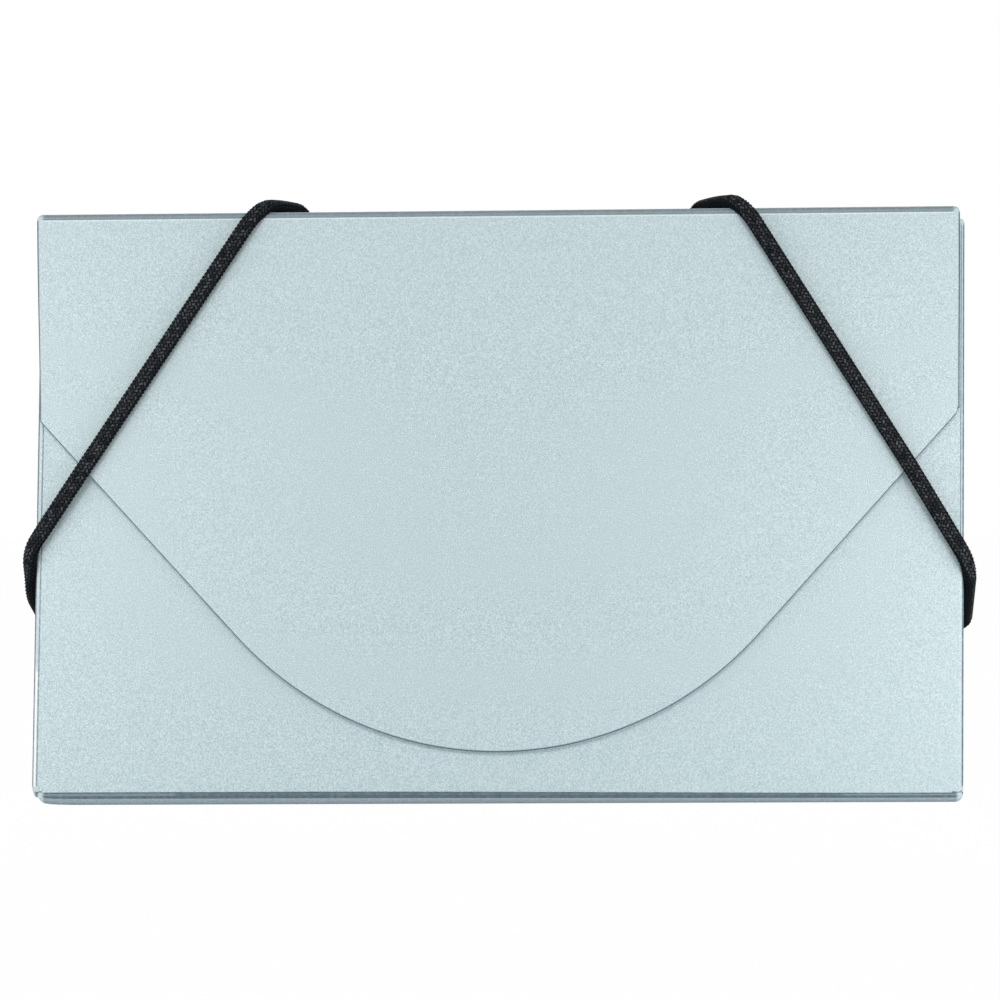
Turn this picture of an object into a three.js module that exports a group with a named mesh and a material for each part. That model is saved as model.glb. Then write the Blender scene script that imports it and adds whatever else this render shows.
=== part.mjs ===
// Business card holder: a case folded from one creased polypropylene sheet,
// with a round-tipped flap held shut by two elastic corner bands.
// Millimetres, +Z up, front towards -Y, origin on the table under the middle of the case.
import * as THREE from "three";

// Driving dimensions of the folded sheet
const CASE_WIDTH = 93;
const CASE_HEIGHT = 59.2;
const POCKET_DEPTH = 6.4;
const SHEET = 0.6;
const FOLD_RADIUS = 0.8;
const CREASE_WEB = 0.4;

// Strip of the sheet that makes the back, the top and the flap
const STRIP_INSET = 0.5;
const CREASE_INSET = 0.6;
const FLAP_CLEARANCE = 0.3;
const SHOULDER_INSET = 0.15;
const SHOULDER_DROP = 20.5;
const FLAP_DROP = 54;
const TIP_RADIUS = 35;
const FLAP_CORNER = 0.5;

// Pocket walls
const FRONT_DROP = 1.2;
const CORNER_RELIEF = 0.8;
const SIDE_WALL_RISE = 1.1;
const SIDE_WALL_DROP = 1.6;
const TAB_WIDTH = 8;
const TAB_BEVEL = 2;

// Elastic bands: cord, holes in the back panel and crimped bars on the cord ends
const CORD_DIAMETER = 1.5;
const CORD_CLEARANCE = 0.1;
const HOLE_CLEARANCE = 0.35;
const TOP_HOLE_OFFSET = 18.9;
const TOP_HOLE_DROP = 3.4;
const SIDE_HOLE_INSET = 3.3;
const SIDE_HOLE_HEIGHT = 17.2;
const BAR_LENGTH = 7;
const BAR_WIDTH = 3;
const BAR_THICKNESS = 0.9;
const BAR_CLEARANCE = 0.15;
const MOUTH_RADIUS = 1.2;
const RUN_LEAD = 1.2;
const LEFT_BAND = { topCrossing: 24.5, sideCrossing: 27 };
const RIGHT_BAND = { topCrossing: 25, sideCrossing: 25.8 };
const TOP_DRIFT = 4.6;
const SIDE_DRIFT = 8.2;

// Facets
const FOLD_SEGMENTS = 3;
const OUTLINE_SEGMENTS = 12;
const CORD_SIDES = 8;
const CORD_STEPS = 80;

// Levels shared by neighbouring pieces, with the flap and the back panel the same distance from the origin
const OVERALL_DEPTH = POCKET_DEPTH + 3 * SHEET + FLAP_CLEARANCE;
const BACK_Y = OVERALL_DEPTH / 2;
const FLAP_Y = -OVERALL_DEPTH / 2;
const FRONT_Y = FLAP_Y + SHEET + FLAP_CLEARANCE;
const TAB_Y = BACK_Y - SHEET;
const HALF_WIDTH = CASE_WIDTH / 2;
const STRIP_WIDTH = CASE_WIDTH - 2 * STRIP_INSET;
const CREASE_LENGTH = STRIP_WIDTH - 2 * CREASE_INSET;
const SHOULDER_WIDTH = STRIP_WIDTH - 2 * SHOULDER_INSET;
const INNER_RADIUS = FOLD_RADIUS - SHEET;
const CORD_STANDOFF = CORD_DIAMETER / 2 + CORD_CLEARANCE;
const WRAP_RADIUS = FOLD_RADIUS + CORD_STANDOFF;
const HOLE_RADIUS = CORD_DIAMETER / 2 + HOLE_CLEARANCE;
const TOP_HOLE = new THREE.Vector2(TOP_HOLE_OFFSET, CASE_HEIGHT - TOP_HOLE_DROP);
const SIDE_HOLE = new THREE.Vector2(HALF_WIDTH - SIDE_HOLE_INSET, SIDE_HOLE_HEIGHT);

const sheetMaterial = () => new THREE.MeshStandardMaterial({ color: 0xc6d6da, roughness: 0.5, metalness: 0.15 });
const cordMaterial = () => new THREE.MeshStandardMaterial({ color: 0x17171a, roughness: 0.85, metalness: 0 });
const barMaterial = () => new THREE.MeshStandardMaterial({ color: 0xb9bcc0, roughness: 0.35, metalness: 0.9 });

// Turns that carry an outline drawn in a panel's own plane into the case
const UPRIGHT = new THREE.Quaternion().setFromAxisAngle(new THREE.Vector3(1, 0, 0), Math.PI / 2);
const ALONG_X = new THREE.Quaternion().setFromRotationMatrix(
  new THREE.Matrix4().makeBasis(
    new THREE.Vector3(0, 1, 0),
    new THREE.Vector3(0, 0, 1),
    new THREE.Vector3(1, 0, 0),
  ),
);

const holder = new THREE.Group();

function addMesh(name, geometry, material) {
  const mesh = new THREE.Mesh(geometry, material);
  mesh.name = name;
  holder.add(mesh);
  return mesh;
}

function extrude(shape, depth, segments) {
  return new THREE.ExtrudeGeometry(shape, { depth, curveSegments: segments, bevelEnabled: false });
}

// A flat panel drawn in X and Z, from its front face at nearY towards the back
function addPanel(name, shape, nearY, thickness, material) {
  const mesh = addMesh(name, extrude(shape, thickness, OUTLINE_SEGMENTS), material);
  mesh.quaternion.copy(UPRIGHT);
  mesh.position.y = nearY + thickness;
  return mesh;
}

// A folded strip drawn in Y and Z and run along X
function addStrip(name, shape, length) {
  const mesh = addMesh(name, extrude(shape, length, FOLD_SEGMENTS), sheetMaterial());
  mesh.quaternion.copy(ALONG_X);
  mesh.position.x = -length / 2;
  return mesh;
}

// A straight-sided outline, always anticlockwise
function polygon(points) {
  const corners = points.map(([x, z]) => new THREE.Vector2(x, z));
  if (THREE.ShapeUtils.isClockWise(corners)) corners.reverse();
  return new THREE.Shape(corners);
}

function punch(shape, centre, radius) {
  const hole = new THREE.Path();
  hole.absarc(centre.x, centre.y, radius, 0, 2 * Math.PI, true);
  shape.holes.push(hole);
}

const mirrored = (point, side) => new THREE.Vector2(side * point.x, point.y);
const SIDES = { left: -1, right: 1 };

// Back panel with a cord hole near the top edge and one near the side edge for each band
function backPanel() {
  const half = STRIP_WIDTH / 2;
  const low = FOLD_RADIUS;
  const high = CASE_HEIGHT - FOLD_RADIUS;
  const shape = polygon([[-half, low], [half, low], [half, high], [-half, high]]);
  for (const side of Object.values(SIDES)) {
    punch(shape, mirrored(TOP_HOLE, side), HOLE_RADIUS);
    punch(shape, mirrored(SIDE_HOLE, side), HOLE_RADIUS);
  }
  addPanel("back_panel", shape, BACK_Y - SHEET, SHEET, sheetMaterial());
}

// Front panel of the pocket, between its two side folds and the bottom fold
function frontPanel() {
  const half = HALF_WIDTH - FOLD_RADIUS;
  const low = FOLD_RADIUS;
  const high = CASE_HEIGHT - FRONT_DROP;
  const shape = polygon([[-half, low], [half, low], [half, high], [-half, high]]);
  addPanel("front_panel", shape, FRONT_Y, SHEET, sheetMaterial());
}

// Section of a wall that turns a rounded fold at both ends, standing on zero between near and far
function channel(near, far) {
  const quarter = Math.PI / 2;
  const first = near + FOLD_RADIUS;
  const last = far - FOLD_RADIUS;
  const shape = new THREE.Shape();
  shape.absarc(first, FOLD_RADIUS, FOLD_RADIUS, Math.PI, Math.PI + quarter, false);
  shape.absarc(last, FOLD_RADIUS, FOLD_RADIUS, -quarter, 0, false);
  shape.absarc(last, FOLD_RADIUS, INNER_RADIUS, 0, -quarter, true);
  shape.absarc(first, FOLD_RADIUS, INNER_RADIUS, Math.PI + quarter, Math.PI, true);
  shape.closePath();
  return shape;
}

// Bottom wall with the folds that carry it into the front and back panels
function bottomWall() {
  addStrip("bottom_wall", channel(FRONT_Y, BACK_Y), CASE_WIDTH - 2 * CORNER_RELIEF);
}

// Side wall with its front fold, and the fold that turns it into the glue tab
function sideWall(name, side) {
  const low = SIDE_WALL_RISE;
  const high = CASE_HEIGHT - SIDE_WALL_DROP;
  const mesh = addMesh(
    `${name}_side_wall`,
    extrude(channel(FRONT_Y, TAB_Y), high - low, FOLD_SEGMENTS),
    sheetMaterial(),
  );
  mesh.position.set(side * HALF_WIDTH, 0, side > 0 ? low : high);
  mesh.quaternion.setFromRotationMatrix(
    new THREE.Matrix4().makeBasis(
      new THREE.Vector3(0, 1, 0),
      new THREE.Vector3(-side, 0, 0),
      new THREE.Vector3(0, 0, side),
    ),
  );
}

// Glue tab that lies against the inside of the back panel, with the side hole through it
function glueTab(name, side) {
  const outer = HALF_WIDTH - FOLD_RADIUS;
  const inner = outer - TAB_WIDTH;
  const low = SIDE_WALL_RISE;
  const high = CASE_HEIGHT - SIDE_WALL_DROP;
  const corners = [[outer, low], [outer, high], [inner, high - TAB_BEVEL], [inner, low + TAB_BEVEL]];
  const shape = polygon(corners.map(([x, z]) => [side * x, z]));
  punch(shape, mirrored(SIDE_HOLE, side), HOLE_RADIUS);
  addPanel(`${name}_glue_tab`, shape, TAB_Y - SHEET, SHEET, sheetMaterial());
}

// Quarter-round living hinge at the top of the case, thinner than the sheet
function crease(name, faceY, depthSign) {
  const centreY = faceY + depthSign * FOLD_RADIUS;
  const centreZ = CASE_HEIGHT - FOLD_RADIUS;
  const start = depthSign > 0 ? Math.PI : 0;
  const end = Math.PI / 2;
  const clockwise = depthSign > 0;
  const shape = new THREE.Shape();
  shape.absarc(centreY, centreZ, FOLD_RADIUS, start, end, clockwise);
  shape.absarc(centreY, centreZ, FOLD_RADIUS - CREASE_WEB, end, start, !clockwise);
  shape.closePath();
  addStrip(name, shape, CREASE_LENGTH);
}

// Top wall between the two creases
function topWall() {
  const near = FLAP_Y + FOLD_RADIUS;
  const far = BACK_Y - FOLD_RADIUS;
  const low = CASE_HEIGHT - SHEET;
  const shape = polygon([[near, low], [far, low], [far, CASE_HEIGHT], [near, CASE_HEIGHT]]);
  addStrip("top_wall", shape, STRIP_WIDTH);
}

// The flap's right shoulder, its round tip and the slanted edge that joins them tangentially
function flapOutline() {
  const shoulder = new THREE.Vector2(SHOULDER_WIDTH / 2, CASE_HEIGHT - SHOULDER_DROP);
  const centre = new THREE.Vector2(0, CASE_HEIGHT - FLAP_DROP + TIP_RADIUS);
  const toCentre = centre.clone().sub(shoulder);
  const slope = toCentre.angle() + Math.asin(TIP_RADIUS / toCentre.length());
  const direction = new THREE.Vector2(Math.cos(slope), Math.sin(slope));
  return { shoulder, centre, direction, tangentAngle: slope + Math.PI / 2 };
}

// Flap: straight sides to the shoulders, then the slanted edges and the round tip
function flap() {
  const top = CASE_HEIGHT - FOLD_RADIUS;
  const half = STRIP_WIDTH / 2;
  const { shoulder, centre, tangentAngle } = flapOutline();
  const shape = new THREE.Shape();
  shape.moveTo(-half + FLAP_CORNER, top);
  shape.lineTo(-half, top - FLAP_CORNER);
  shape.lineTo(-shoulder.x, shoulder.y);
  shape.absarc(centre.x, centre.y, TIP_RADIUS, Math.PI - tangentAngle, tangentAngle, false);
  shape.lineTo(shoulder.x, shoulder.y);
  shape.lineTo(half, top - FLAP_CORNER);
  shape.lineTo(half - FLAP_CORNER, top);
  shape.closePath();
  addPanel("flap", shape, FLAP_Y, SHEET, sheetMaterial());
}

// Crimped metal bar that stops a cord end behind its hole, lying along the nearer edge
function crimpBar(name, hole, side, upright, seatY) {
  const shape = new THREE.Shape();
  const run = (BAR_LENGTH - BAR_WIDTH) / 2;
  const round = BAR_WIDTH / 2;
  shape.absarc(run, 0, round, -Math.PI / 2, Math.PI / 2, false);
  shape.absarc(-run, 0, round, Math.PI / 2, 1.5 * Math.PI, false);
  shape.closePath();
  punch(shape, new THREE.Vector2(0, 0), CORD_DIAMETER / 2 + BAR_CLEARANCE);
  const nearY = seatY - CORD_CLEARANCE - BAR_THICKNESS;
  const mesh = addPanel(name, shape, nearY, BAR_THICKNESS, barMaterial());
  mesh.position.x = side * hole.x;
  mesh.position.z = hole.y;
  if (upright) mesh.rotateZ(Math.PI / 2);
}

// Where the band's straight front run passes the flap's slanted edge
function flapEdgeOnRun(from, to) {
  const run = to.clone().sub(from);
  const edge = flapOutline();
  const toShoulder = edge.shoulder.clone().sub(from);
  const share = toShoulder.cross(edge.direction) / run.cross(edge.direction);
  return from.clone().addScaledVector(run, share);
}

// A cord's turn from the back face into a hole, listed from inside the case outwards
function mouth(hole, edge, endY) {
  const towards = edge.clone().sub(hole).normalize();
  const faceY = BACK_Y + CORD_STANDOFF;
  const turn = (angle) => {
    const reach = MOUTH_RADIUS * (1 - Math.cos(angle));
    const point = hole.clone().addScaledVector(towards, reach);
    return [point.x, faceY - MOUTH_RADIUS * (1 - Math.sin(angle)), point.y];
  };
  return [[hole.x, endY, hole.y], turn(0), turn(Math.PI / 4), turn(Math.PI / 2)];
}

// A cord's passage across a wall and round its two folds, as share of the way, level outside the wall and depth
function passage(nearCentre, farCentre) {
  const leg = WRAP_RADIUS * Math.SQRT1_2;
  const arc = (WRAP_RADIUS * Math.PI) / 4;
  const stations = [
    [0, 0, nearCentre - WRAP_RADIUS],
    [arc, leg, nearCentre - leg],
    [2 * arc, WRAP_RADIUS, nearCentre],
    [2 * arc + farCentre - nearCentre, WRAP_RADIUS, farCentre],
    [3 * arc + farCentre - nearCentre, leg, farCentre + leg],
    [4 * arc + farCentre - nearCentre, 0, farCentre + WRAP_RADIUS],
  ];
  const length = 4 * arc + farCentre - nearCentre;
  return stations.map(([along, level, y]) => ({ share: along / length, level, y }));
}

// Points just inside both ends of a straight stretch, so that the curve through them stays straight
function straight(from, to) {
  const start = new THREE.Vector3(...from);
  const end = new THREE.Vector3(...to);
  const lead = end.clone().sub(start).setLength(RUN_LEAD);
  return [start.add(lead).toArray(), end.sub(lead).toArray()];
}

// Route of a band's cord: out of the top hole, over the top, down the front, round the side, in at the side hole
function bandRoute(side, { topCrossing, sideCrossing }) {
  const topZ = CASE_HEIGHT - FOLD_RADIUS;
  const sideX = HALF_WIDTH - FOLD_RADIUS;
  const backFold = BACK_Y - FOLD_RADIUS;
  const topEdge = new THREE.Vector2(topCrossing - TOP_DRIFT, topZ);
  const sideEdge = new THREE.Vector2(sideX, sideCrossing - SIDE_DRIFT);
  const runTop = new THREE.Vector2(topCrossing, topZ);
  const runEnd = new THREE.Vector2(sideX, sideCrossing);
  const leave = flapEdgeOnRun(runTop, runEnd);
  const overTop = passage(FLAP_Y + FOLD_RADIUS, backFold).map(({ share, level, y }) => [
    topCrossing - TOP_DRIFT * share, y, topZ + level,
  ]);
  const roundSide = passage(FRONT_Y + FOLD_RADIUS, backFold).map(({ share, level, y }) => [
    sideX + level, y, sideCrossing - SIDE_DRIFT * share,
  ]);
  const overEdge = [leave.x, FLAP_Y - CORD_STANDOFF, leave.y];
  const points = [
    ...mouth(TOP_HOLE, topEdge, TAB_Y - CORD_CLEARANCE - BAR_THICKNESS),
    ...overTop.toReversed(),
    ...straight(overTop[0], overEdge),
    overEdge,
    ...straight(overEdge, roundSide[0]),
    ...roundSide,
    ...mouth(SIDE_HOLE, sideEdge, TAB_Y - SHEET - CORD_CLEARANCE - BAR_THICKNESS).reverse(),
  ];
  return points.map(([x, y, z]) => new THREE.Vector3(side * x, y, z));
}

function band(name, side, crossings) {
  const section = new THREE.Shape();
  section.absarc(0, 0, CORD_DIAMETER / 2, 0, 2 * Math.PI, false);
  const geometry = new THREE.ExtrudeGeometry(section, {
    steps: CORD_STEPS,
    curveSegments: CORD_SIDES / 2,
    extrudePath: new THREE.CatmullRomCurve3(bandRoute(side, crossings)),
  });
  addMesh(`${name}_band`, geometry, cordMaterial());
}

backPanel();
bottomWall();
frontPanel();
topWall();
flap();
crease("back_crease", BACK_Y, -1);
crease("front_crease", FLAP_Y, 1);
for (const [name, side] of Object.entries(SIDES)) {
  sideWall(name, side);
  glueTab(name, side);
  crimpBar(`${name}_top_bar`, TOP_HOLE, side, false, TAB_Y);
  crimpBar(`${name}_side_bar`, SIDE_HOLE, side, true, TAB_Y - SHEET);
}
band("left", SIDES.left, LEFT_BAND);
band("right", SIDES.right, RIGHT_BAND);

export default holder;
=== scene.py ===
"""Business card holder: looks of a folded polypropylene case with a flap and two elastic corner bands."""

import math
from collections import namedtuple

import bmesh
import bpy
import numpy as np
from mathutils import Matrix, Vector, noise


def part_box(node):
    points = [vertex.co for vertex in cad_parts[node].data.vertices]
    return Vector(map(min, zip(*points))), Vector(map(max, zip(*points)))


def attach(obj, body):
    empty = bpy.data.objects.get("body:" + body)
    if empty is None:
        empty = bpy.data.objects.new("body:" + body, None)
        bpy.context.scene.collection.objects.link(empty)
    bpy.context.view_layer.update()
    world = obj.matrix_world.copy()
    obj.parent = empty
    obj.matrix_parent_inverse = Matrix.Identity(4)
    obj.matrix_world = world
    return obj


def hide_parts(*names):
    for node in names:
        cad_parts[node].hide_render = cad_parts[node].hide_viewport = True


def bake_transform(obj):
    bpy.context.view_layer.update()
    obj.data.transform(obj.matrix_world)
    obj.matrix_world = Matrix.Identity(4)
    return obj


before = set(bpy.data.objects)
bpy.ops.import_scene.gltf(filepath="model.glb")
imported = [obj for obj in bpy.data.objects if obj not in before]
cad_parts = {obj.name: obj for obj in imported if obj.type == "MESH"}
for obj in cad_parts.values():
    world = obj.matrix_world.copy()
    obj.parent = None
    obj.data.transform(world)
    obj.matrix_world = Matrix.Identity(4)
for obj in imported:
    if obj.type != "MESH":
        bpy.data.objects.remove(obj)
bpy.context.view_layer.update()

# Lengths are in millimetres until a mesh is made, with the front towards -Y and the table at zero height
MM = 0.001


def box_mm(node):
    low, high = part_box(node)
    return np.array(low) / MM, np.array(high) / MM


# Levels and widths taken from the frame
FLAP_LOW, FLAP_HIGH = box_mm("flap")
PANEL_LOW, PANEL_HIGH = box_mm("front_panel")
WALL_HIGH = box_mm("right_side_wall")[1]
TOP_LOW, TOP_HIGH = box_mm("top_wall")
BACK_LOW, BACK_HIGH = box_mm("back_panel")
SHEET = FLAP_HIGH[1] - FLAP_LOW[1]
FLAP_Y = FLAP_LOW[1]
FRONT_Y = PANEL_LOW[1]
BACK_Y = BACK_HIGH[1]
TAB_Y = WALL_HIGH[1]
HALF_STRIP = FLAP_HIGH[0]
HALF_CASE = WALL_HIGH[0]
CASE_TOP = TOP_HIGH[2]
POCKET_TOP = PANEL_HIGH[2]
CASE_CORNER = np.array([(-HALF_CASE, FRONT_Y, 0.0), (HALF_CASE, BACK_Y, CASE_TOP)])

# Holes of the right cord, in the middle of its two bars, and how far in its ends reach
TOP_BAR_LOW, TOP_BAR_HIGH = box_mm("right_top_bar")
SIDE_BAR_LOW, SIDE_BAR_HIGH = box_mm("right_side_bar")
TOP_HOLE = (TOP_BAR_LOW + TOP_BAR_HIGH) / 2
SIDE_HOLE = (SIDE_BAR_LOW + SIDE_BAR_HIGH) / 2
TOP_TAIL_Y = TOP_BAR_LOW[1]
SIDE_TAIL_Y = SIDE_BAR_LOW[1]

# Outline of the flap
SHOULDER_INSET = 0.15
SHOULDER_DROP = 20.5
TIP_RADIUS = 35.0
SHOULDER_ROUND = 1.2
STRIP_CORNER = 0.55

# Rounded folds of the sheet, and how far the front panel stops short of them
BOTTOM_FOLD = 0.5
SIDE_FOLD = 0.45
TOP_FOLD = 0.45
BACK_FOLD = 0.8
CREASE_WEB = 0.4
FRONT_FOOT = 1.3
FOOT_FALL = 0.33
WALL_FOOT = 0.75
SIDE_LAP = 1.1
CORNER_CUT = 0.8
CORNER_INSET = 0.2
CORNER_RISE = 0.35
RISE_REACH = 1.0
END_ROUND = 0.45
FOLD_ROOM = 0.9

# Softened edges of the sheets and the bars
EDGE_ROUND = 0.05
BAR_ROUND = 0.1
EDGE_SEGMENTS = 2
SHARP_ANGLE = math.radians(50)
WELD_REACH = 0.001

# How finely the sheets are divided
ARC_STEP = 0.05
ARC_PARTS = 4
SECTION_PARTS = 24
SECTION_DIGITS = 3
PLACE_DIGITS = 4
END_STEP = 0.06
END_REACH = 1.2
STRIP_STEP = 0.3
WALL_STEP = 0.25
TOP_STEP = 1.0
TOP_ROWS = 15
FLAP_STEP = 0.8
FLAP_REACH = 1.4
FLAP_ROWS = 46
PANEL_COLUMNS = 91
PANEL_ROWS = 61

# Thin line of painted shade along the cut edges, for the shadow in the gap under an edge
RIM_SHADE = 1.0
RIM_LINE = 0.07
RIM_FADE = 0.19
RIM_STEP = 0.07
RIM_REACH = 0.28

# Marks on the outer face of a fold, by distance along its section: some scored into it, with painted shade
# where their tone is over zero and a painted highlight where it is under zero
Mark = namedtuple("Mark", "start end slope depth tone dots low high", defaults=(-math.inf, math.inf))
MARK_END = 0.8
MARK_SPAN = 1.4
MARK_SAMPLES = 8
MARK_SEED = 5.3
MARK_WANDER = 0.35
DEPTH_LIMITS = (0.2, 1.5)
TONE_LIMITS = (0.0, 1.1)
TOP_MARKS = (
    Mark(0.30, 1.02, 0.05, 0.06, 0.66, 0.1),
    Mark(0.28, 0.28, 0.08, 0.08, 0.72, 0.2),
    Mark(0.86, 0.86, 0.09, 0.08, 0.75, 0.2),
    # Painted highlight near the flap's top edge
    Mark(0.10, 0.16, 0.06, 0.00, -0.5, 0.3),
)
BOTTOM_MARKS = (
    Mark(0.06, 0.66, 0.05, 0.05, 0.72, 0.15),
    Mark(0.06, 0.66, 0.05, 0.05, 0.88, 0.15, low=-33.0, high=35.0),
    Mark(0.05, 0.15, 0.05, 0.06, 0.92, 0.2),
    Mark(0.42, 0.64, 0.06, 0.08, 0.93, 0.2),
    # Painted shade on the bottom fold's rounding, where it turns down and away from the light
    Mark(0.70, 1.25, 0.04, 0.00, 0.5, 0.1),
    Mark(1.30, 1.62, 0.06, 0.00, 0.65, 0.1),
)
SIDE_MARKS = {
    -1: (
        Mark(0.55, 0.55, 0.09, 0.06, 0.85, 0.9),
        # Painted highlight where the left fold catches the light
        Mark(0.70, 0.86, 0.06, 0.00, -1.0, 0.3, high=14.0),
        # Painted shade where the fold turns away at the outline
        Mark(1.00, 1.32, 0.08, 0.00, 0.85, 0.3),
    ),
    1: (
        Mark(0.76, 0.76, 0.09, 0.06, 0.85, 0.6, low=24.0),
        # Painted shade where the fold turns away at the outline
        Mark(1.00, 1.32, 0.08, 0.00, 0.85, 0.3),
    ),
}

# Give of a light case that is folded by hand and held by its bands
PANEL_BULGE = 0.2
FLAP_GAP = 0.05
HUG_HIGH = 52.0
HUG_LOW = 34.0
FOOT_SHIFT = {-1: -0.68, 1: -0.5}
BOTTOM_SHIFT = {-1: -0.25, 1: -0.3}
TOP_SHIFT = {-1: 0.85, 1: 0.05}
TIP_SHIFT = -0.22

# Elastic cord, pressed a little flat where it lies on the case
CORD_HALF_WIDTH = 0.82
CORD_HALF_THICK = 0.64
TOP_HALF_THICK = 0.74
SIDE_HALF_THICK = 0.68
THICK_REACH = 1.6
CORE_INSET = 1.2
CORE_SHARE = 0.05
CORD_LIFT = 0.62
TURN_LIFT = 0.74
BACK_PRESS = 0.2
CORD_CAP = 0.55
STUB_HALF = 0.72
TOP_TURN = 3.2
SIDE_TURN = 4.0
HOLD_TURN = 3.0
ARCH_TURN = 50.0
BACK_TURN = 2.0
LEAVE_TURN = 8.0
RUN_TOP_Z = 58.4
RUN_SIDE_X = 45.7
CORD_STEP = 0.06
CORD_SIDES = 72
CAP_LIMIT = 0.98

# Braid of the cord's cover, and the sine of large numbers that spreads the tones of its strands
STRANDS = 12
STRANDS_OVER = 2.0
STRAND_PITCH = 5.0
STRAND_RISE = 0.16
# Outer side of the cord, away from the case, which gets the painted highlights
LIT_FACE_FROM = 0.25
LIT_FACE_TO = 0.85
SPREAD_FIRST = 12.9898
SPREAD_SECOND = 78.233
SPREAD_GAIN = 43758.5453

# Where each band crosses the top edge and the side, how far it drifts there, and how it lifts over the turns
Band = namedtuple(
    "Band",
    "side top low top_drift side_drift front_rise arch back_rise side_lift hold_y hold_z",
)
BANDS = {
    "left": Band(
        side=-1, top=24.65, low=27.45, top_drift=4.6, side_drift=9.0,
        front_rise=-0.17, arch=0.04, back_rise=-0.03, side_lift=0.56, hold_y=-1.6, hold_z=21.0,
    ),
    "right": Band(
        side=1, top=25.35, low=25.75, top_drift=5.5, side_drift=8.4,
        front_rise=-0.13, arch=0.09, back_rise=-0.17, side_lift=0.6, hold_y=-2.2, hold_z=21.9,
    ),
}

# Camera, as far off as the photograph's perspective asks, with angles in degrees and limits in metres
VIEW_WIDTH = 99.6
VIEW_DISTANCE = 400.0
VIEW_X = 0.18
VIEW_Z = 30.33
VIEW_AZIMUTH = 2.4
VIEW_ROLL = 0.385
VIEW_NEAR = 0.01
VIEW_FAR = 20.0
SENSOR = 36.0

# Soft light from above the front and the back, a soft box near each side, and an even sky over a wide floor
LAMP_SPREAD = 18.0
KEY_STRENGTH = 0.95
KEY_HEADING = (0.0, 0.86, -0.5)
FILL_STRENGTH = 0.7
FILL_HEADING = (0.0, -0.86, -0.5)
SIDE_BOX_X = 95.0
SIDE_BOX_Y = -60.0
SIDE_BOX_Z = {-1: 36.0, 1: 21.0}
SIDE_BOX_WIDTH = 50.0
SIDE_BOX_HEIGHT = 40.0
SIDE_BOX_POWER = {-1: 0.019, 1: 0.024}
SIDE_BOX_COLOUR = (1.0, 0.96, 0.93)
SKY_STRENGTH = 0.36
FLOOR_GLOW = 0.98
FLOOR_HALF = 3000.0


# Numbers that vary smoothly

def smoothstep(value, start, end):
    share = np.clip((np.asarray(value, float) - start) / (end - start), 0.0, 1.0)
    return share * share * (3.0 - 2.0 * share)


def wander(along, seed, scale):
    """A steady random number from -1 to 1 that depends only on the place it is read at."""
    return noise.noise(Vector((along / scale, seed, 0.0)))


def stations(low, high, step, fine, reach):
    """Places from low to high, closer together near both ends."""
    ends = np.linspace(0.0, reach, int(round(reach / fine)) + 1)
    middle = np.arange(low + reach, high - reach, step)
    return np.unique(np.round(np.concatenate([low + ends, middle, high - ends]), PLACE_DIGITS))


def panel_bulge(x, z):
    """How far the front panel stands forward of its flat place."""
    across = np.clip(1.0 - (x / (HALF_CASE - SIDE_LAP)) ** 2, 0.0, 1.0)
    return PANEL_BULGE * across * smoothstep(z, FRONT_FOOT, POCKET_TOP / 2)


def flap_hug(x, z):
    """How far the flap leans in towards the front panel."""
    room = FRONT_Y - FLAP_Y - SHEET - FLAP_GAP - panel_bulge(x, z)
    return room * smoothstep(z, HUG_HIGH, HUG_LOW)


def side_lean(side, z):
    """Sideways shift of a front fold, which leans a little from the foot to the open top."""
    share = np.asarray(z, float) / POCKET_TOP
    return FOOT_SHIFT[side] + (TOP_SHIFT[side] - FOOT_SHIFT[side]) * share


def front_foot(x):
    """Height of the fold between the bottom wall and the front panel, which runs lower towards the right."""
    return FRONT_FOOT - FOOT_FALL * smoothstep(x, -HALF_CASE / 2, HALF_CASE)


def corner_drop(x, half, radius):
    """How far a round corner falls away near the ends of a strip."""
    over = np.clip(np.abs(x) - (half - radius), 0.0, radius)
    return radius - np.sqrt(radius ** 2 - over ** 2)


# Meshes

def link_piece(name, points, faces, material):
    mesh = bpy.data.meshes.new(name)
    mesh.from_pydata((np.asarray(points) * MM).tolist(), [], faces)
    shape = bmesh.new()
    shape.from_mesh(mesh)
    bmesh.ops.recalc_face_normals(shape, faces=shape.faces)
    shape.to_mesh(mesh)
    shape.free()
    mesh.polygons.foreach_set("use_smooth", [True] * len(mesh.polygons))
    mesh.materials.append(material)
    piece = bpy.data.objects.new(name, mesh)
    bpy.context.scene.collection.objects.link(piece)
    return piece


def add_values(piece, name, domain, values):
    attribute = piece.data.attributes.new(name, "FLOAT", domain)
    attribute.data.foreach_set("value", np.asarray(values, np.float32).ravel())


def faces_between(first, second):
    """Faces with four corners between two rows of point numbers."""
    return np.stack([first[:-1], first[1:], second[1:], second[:-1]], axis=-1).tolist()


def soften_rims(piece, index, free):
    """Rounds the cut edges of a sheet, and leaves the seams to its neighbours sharp."""
    rims = {"start": index[:, 0, :], "end": index[:, -1, :], "low": index[:, :, 0], "high": index[:, :, -1]}
    chosen = set()
    for rim in free:
        for line in rims[rim]:
            chosen.update(frozenset(pair) for pair in zip(line[:-1].tolist(), line[1:].tolist()))
    weights = [float(frozenset(edge.vertices) in chosen) for edge in piece.data.edges]
    add_values(piece, "bevel_weight_edge", "EDGE", weights)
    bevel = piece.modifiers.new("cut_edges", "BEVEL")
    bevel.width = EDGE_ROUND * MM
    bevel.segments = EDGE_SEGMENTS
    bevel.limit_method = "WEIGHT"


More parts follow.
